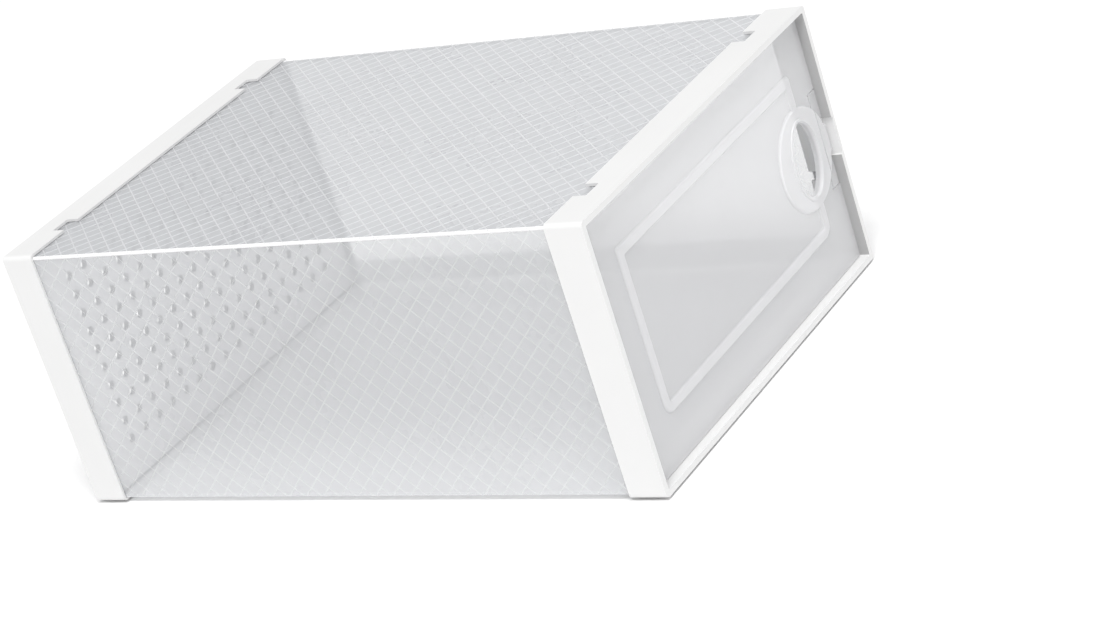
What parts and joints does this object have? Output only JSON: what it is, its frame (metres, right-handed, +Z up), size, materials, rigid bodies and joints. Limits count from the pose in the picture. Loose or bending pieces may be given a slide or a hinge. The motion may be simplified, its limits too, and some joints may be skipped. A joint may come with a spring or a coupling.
{
  "type": "shoe box",
  "caption": "Stackable shoe box with a folded clear body, two white end rings, a vented back and a side-hung front door with an oval finger hole.",
  "frame": {"origin": "middle of the base, on the surface the box stands on (underside of the stacking lugs)", "axes": "+Z up, -Y towards the door, +Y towards the vented back, +X towards the door's finger hole and catch; the hinge is at -X"},
  "size_m": [0.23, 0.33, 0.1375],
  "materials": {
    "white_plastic": "injection-moulded white polypropylene, smooth satin",
    "clear_sheet": "translucent folded sheet with a fine raised diagonal lattice",
    "vented_plastic": "frosted translucent moulding, smooth",
    "frosted_plastic": "frosted translucent moulding, smooth"
  },
  "bodies": {
    "box": {"front_frame": "white_plastic", "rear_frame": "white_plastic", "body_sheet": "clear_sheet", "rear_panel": "vented_plastic"},
    "door": {"door": "frosted_plastic"}
  },
  "joints": [
    {"name": "door_hinge", "type": "hinge", "parent": "box", "child": "door", "pos_m": [-0.1093, -0.1606, 0.06945], "axis": [0, 0, -1], "range_deg": [0, 120]}
  ]
}
